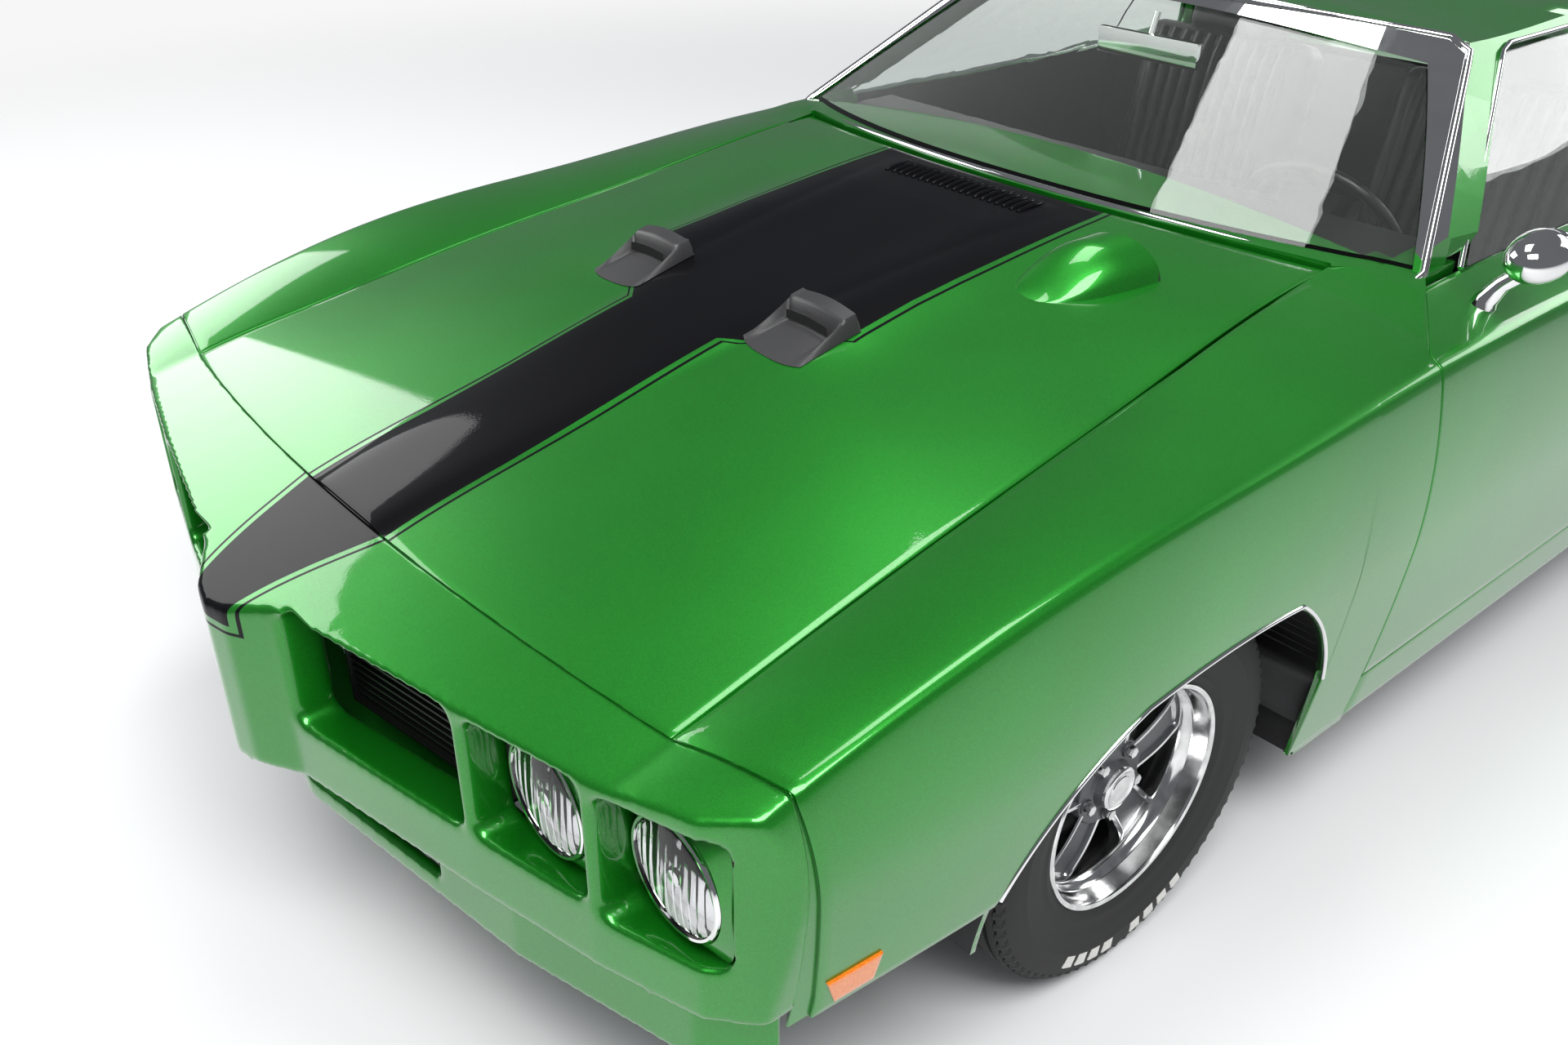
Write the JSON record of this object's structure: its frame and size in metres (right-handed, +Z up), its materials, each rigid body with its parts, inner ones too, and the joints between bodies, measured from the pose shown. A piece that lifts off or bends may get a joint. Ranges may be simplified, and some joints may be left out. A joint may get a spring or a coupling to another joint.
{
  "type": "muscle car",
  "caption": "Two-door hardtop muscle car with long scooped hood, deep body-colour nose with round headlamps, bucket seats and spoked wheels, doors, lids and steering that move.",
  "frame": {"origin": "on the ground, in the middle of the car's length and width", "axes": "+Z up, the nose towards -Y, the car's left side at +X"},
  "size_m": [1.9616, 5.144, 1.3286],
  "materials": {
    "paint": "metallic gloss",
    "chassis": "satin",
    "iron": "painted",
    "steel": "satin",
    "black_trim": "satin",
    "seat_vinyl": "ribbed vinyl",
    "glass": "clear",
    "lamp_glass": "clear",
    "red_lens": "gloss",
    "chrome": "polished",
    "wheel_metal": "polished with grey spokes",
    "tyre": "matte"
  },
  "bodies": {
    "body": {"frame": "chassis", "floor_pan": "chassis", "firewall": "chassis", "cowl": "paint", "nose": "paint", "front_valance": "paint", "grille": "black_trim", "headlamps_left": "lamp_glass", "headlamps_right": "lamp_glass", "fender_left": "paint", "fender_right": "paint", "quarter_left": "paint", "quarter_right": "paint", "roof": "paint", "windscreen": "glass", "rear_window": "glass", "quarter_glass_left": "glass", "quarter_glass_right": "glass", "deck_panel": "paint", "tail_panel": "paint", "rear_bumper": "chrome", "tail_lamp_left": "red_lens", "tail_lamp_right": "red_lens", "radiator": "chassis", "engine": "iron", "front_suspension": "chassis", "rear_axle": "chassis", "exhaust": "steel", "fuel_tank": "chassis", "dashboard": "black_trim", "bucket_seat_left": "seat_vinyl", "bucket_seat_right": "seat_vinyl", "rear_seat": "seat_vinyl", "console": "black_trim"},
    "hood_lid": {"hood": "paint", "hood_scoop_left": "black_trim", "hood_scoop_right": "black_trim"},
    "trunk": {"trunk_lid": "paint"},
    "left_door": {"door_left": "paint", "door_glass_left": "glass", "door_mirror": "chrome"},
    "right_door": {"door_right": "paint", "door_glass_right": "glass"},
    "steering": {"steering_wheel": "black_trim"},
    "left_knuckle": {"knuckle_left": "chassis"},
    "right_knuckle": {"knuckle_right": "chassis"},
    "wheel_front_left": {"rim_front_left": "wheel_metal", "tyre_front_left": "tyre"},
    "wheel_front_right": {"rim_front_right": "wheel_metal", "tyre_front_right": "tyre"},
    "wheel_rear_left": {"rim_rear_left": "wheel_metal", "tyre_rear_left": "tyre"},
    "wheel_rear_right": {"rim_rear_right": "wheel_metal", "tyre_rear_right": "tyre"}
  },
  "joints": [
    {"name": "hood_hinge", "type": "hinge", "parent": "body", "child": "hood_lid", "pos_m": [0, -0.836, 1.004], "axis": [-1, 0, 0], "range_deg": [0, 48]},
    {"name": "trunk_hinge", "type": "hinge", "parent": "body", "child": "trunk", "pos_m": [0, 1.505, 0.95], "axis": [1, 0, 0], "range_deg": [0, 65]},
    {"name": "left_door_hinge", "type": "hinge", "parent": "body", "child": "left_door", "pos_m": [0.935, -0.904, 0.6], "axis": [0, 0, -1], "range_deg": [0, 62]},
    {"name": "right_door_hinge", "type": "hinge", "parent": "body", "child": "right_door", "pos_m": [-0.935, -0.904, 0.6], "axis": [0, 0, 1], "range_deg": [0, 62]},
    {"name": "steering_turn", "type": "hinge", "parent": "body", "child": "steering", "pos_m": [0.352, -0.302, 0.835], "axis": [0, 0.891, 0.454], "range_deg": [-540, 540]},
    {"name": "left_kingpin", "type": "hinge", "parent": "body", "child": "left_knuckle", "pos_m": [0.715, -1.512, 0.334], "axis": [0, 0, 1], "range_deg": [-30, 30]},
    {"name": "right_kingpin", "type": "hinge", "parent": "body", "child": "right_knuckle", "pos_m": [-0.715, -1.512, 0.334], "axis": [0, 0, 1], "range_deg": [-30, 30]},
    {"name": "front_left_spin", "type": "hinge", "parent": "left_knuckle", "child": "wheel_front_left", "pos_m": [0.775, -1.512, 0.334], "axis": [1, 0, 0], "continuous": true},
    {"name": "rear_left_spin", "type": "hinge", "parent": "body", "child": "wheel_rear_left", "pos_m": [0.764, 1.333, 0.334], "axis": [1, 0, 0], "continuous": true},
    {"name": "front_right_spin", "type": "hinge", "parent": "right_knuckle", "child": "wheel_front_right", "pos_m": [-0.775, -1.512, 0.334], "axis": [1, 0, 0], "continuous": true},
    {"name": "rear_right_spin", "type": "hinge", "parent": "body", "child": "wheel_rear_right", "pos_m": [-0.764, 1.333, 0.334], "axis": [1, 0, 0], "continuous": true}
  ],
  "couplings": [
    {"joint": "left_kingpin", "follows": "steering_turn", "ratio": 0.0555},
    {"joint": "right_kingpin", "follows": "steering_turn", "ratio": 0.0555}
  ]
}
